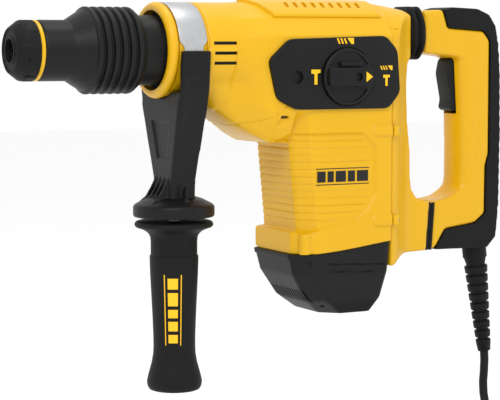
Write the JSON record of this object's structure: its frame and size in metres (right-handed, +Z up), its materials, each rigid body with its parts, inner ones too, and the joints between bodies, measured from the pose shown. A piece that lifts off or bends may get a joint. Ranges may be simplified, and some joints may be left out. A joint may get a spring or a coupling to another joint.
{
  "type": "combination hammer",
  "caption": "Corded combination hammer with D handle, side handle on a clamp band, tool chuck, mode dial, motor cap and coiled mains cord.",
  "frame": {"origin": "centre of the nose collar's front face, on the hammer axis", "axes": "+X along the hammer axis to the rear handle, +Z up, -Y the side with the mode dial"},
  "size_m": [0.4663, 0.162, 0.43],
  "materials": {
    "yellow_shell": "moulded glass-filled nylon, fine satin spark finish",
    "black_nylon": "moulded black glass-filled nylon, matt",
    "black_rubber": "soft overmould, fine grain",
    "steel": "turned and ground steel",
    "band_steel": "rolled and bead-blasted steel strip",
    "cast_metal": "die-cast",
    "core_iron": "stacked laminations",
    "copper": "wound copper",
    "brass": "pressed brass",
    "carbon": "pressed carbon",
    "cord_rubber": "extruded rubber sheath"
  },
  "bodies": {
    "hammer_body": {"nose_collar": "yellow_shell", "front_housing": "yellow_shell", "front_flange": "black_nylon", "motor_housing": "yellow_shell", "rear_cover": "yellow_shell", "motor_cap": "black_nylon", "top_cover": "yellow_shell", "selector_plate": "black_nylon", "gear_frame": "cast_metal", "spindle_bearings": "steel", "gear_bearings": "steel", "motor_bearings": "steel", "stator": "core_iron", "field_windings": "copper", "brush_holders": "brass", "carbon_brushes": "carbon", "cover_screws": "steel", "pivot_pin": "steel", "lower_damper": "black_rubber"},
    "spindle": {"spindle": "steel", "cylinder_tube": "steel", "ring_gear": "steel", "nose_cap": "black_rubber", "chuck_ring": "yellow_shell", "locking_pins": "steel", "sleeve_spring": "steel"},
    "sleeve": {"locking_sleeve": "black_nylon"},
    "striker": {"beat_piece": "steel"},
    "ram": {"ram": "steel", "ram_seal": "black_rubber"},
    "piston": {"piston": "cast_metal", "wrist_pin": "steel", "piston_seal": "black_rubber"},
    "con_rod": {"con_rod": "cast_metal"},
    "crank": {"crank_gear": "steel"},
    "layshaft": {"layshaft": "steel"},
    "rotor": {"rotor_shaft": "steel", "rotor_core": "core_iron", "commutator": "copper", "cooling_fan": "black_nylon"},
    "mode_dial": {"mode_dial": "black_nylon"},
    "lock_tab": {"dial_lock_tab": "black_nylon"},
    "side_handle": {"clamp_band": "band_steel", "side_arm": "black_nylon", "clamp_bolt": "steel"},
    "side_grip": {"side_grip": "black_rubber", "grip_nut": "steel"},
    "rear_handle": {"handle_left": "yellow_shell", "handle_right": "yellow_shell", "handle_overmould": "black_rubber", "handle_bellows": "black_rubber", "handle_spring": "steel", "switch_module": "black_nylon", "strain_relief": "black_rubber", "cord": "cord_rubber", "cord_coil": "cord_rubber", "coil_tie": "black_nylon", "plug": "cord_rubber"},
    "trigger": {"trigger": "black_nylon"}
  },
  "joints": [
    {"name": "rotor_spin", "type": "hinge", "parent": "hammer_body", "child": "rotor", "pos_m": [0.155, 0, -0.13], "axis": [0, 0, 1], "continuous": true},
    {"name": "crank_spin", "type": "hinge", "parent": "hammer_body", "child": "crank", "pos_m": [0.19, 0, -0.04], "axis": [0, 0, 1], "continuous": true},
    {"name": "layshaft_spin", "type": "hinge", "parent": "hammer_body", "child": "layshaft", "pos_m": [0.12, 0, -0.04], "axis": [0, 0, 1], "continuous": true},
    {"name": "spindle_spin", "type": "hinge", "parent": "hammer_body", "child": "spindle", "pos_m": [0, 0, 0], "axis": [1, 0, 0], "continuous": true},
    {"name": "sleeve_slide", "type": "slide", "parent": "spindle", "child": "sleeve", "axis": [1, 0, 0], "range_m": [0, 0.01], "stiffness_N_per_m": 800, "springref_m": -0.005, "deforming": ["sleeve_spring"]},
    {"name": "striker_slide", "type": "slide", "parent": "spindle", "child": "striker", "axis": [1, 0, 0], "range_m": [0, 0.008]},
    {"name": "ram_slide", "type": "slide", "parent": "spindle", "child": "ram", "axis": [1, 0, 0], "range_m": [-0.02, 0.005]},
    {"name": "piston_slide", "type": "slide", "parent": "hammer_body", "child": "piston", "axis": [1, 0, 0], "range_m": [-0.018, 0.018]},
    {"name": "rod_swing", "type": "hinge", "parent": "piston", "child": "con_rod", "pos_m": [0.13, 0, 0], "axis": [0, 0, 1], "range_deg": [-17.4, 17.4]},
    {"name": "dial_turn", "type": "hinge", "parent": "hammer_body", "child": "mode_dial", "pos_m": [0.1596, -0.045, -0.0222], "axis": [0, -1, 0], "range_deg": [0, 180]},
    {"name": "lock_tab_slide", "type": "slide", "parent": "mode_dial", "child": "lock_tab", "axis": [0, 0, 1], "range_m": [0, 0.003], "stiffness_N_per_m": 300, "springref_m": -0.002},
    {"name": "side_handle_swing", "type": "hinge", "parent": "hammer_body", "child": "side_handle", "pos_m": [0.0214, 0, 0], "axis": [1, 0, 0], "continuous": true},
    {"name": "side_grip_turn", "type": "hinge", "parent": "side_handle", "child": "side_grip", "pos_m": [0.0214, 0, -0.2], "axis": [0, 0, 1], "continuous": true},
    {"name": "handle_rock", "type": "hinge", "parent": "hammer_body", "child": "rear_handle", "pos_m": [0.252, 0, -0.159], "axis": [0, -1, 0], "range_deg": [0, 2.5], "stiffness_Nm_per_rad": 60, "springref_deg": -2.86, "deforming": ["handle_bellows", "handle_spring"]},
    {"name": "trigger_pull", "type": "hinge", "parent": "rear_handle", "child": "trigger", "pos_m": [0.2935, 0, -0.0105], "axis": [0, -1, 0], "range_deg": [0, 8], "stiffness_Nm_per_rad": 0.8, "springref_deg": -8.59}
  ],
  "couplings": [
    {"joint": "crank_spin", "follows": "rotor_spin", "ratio": -0.16667},
    {"joint": "layshaft_spin", "follows": "rotor_spin", "ratio": -0.16667},
    {"joint": "spindle_spin", "follows": "rotor_spin", "ratio": 0.064516}
  ]
}
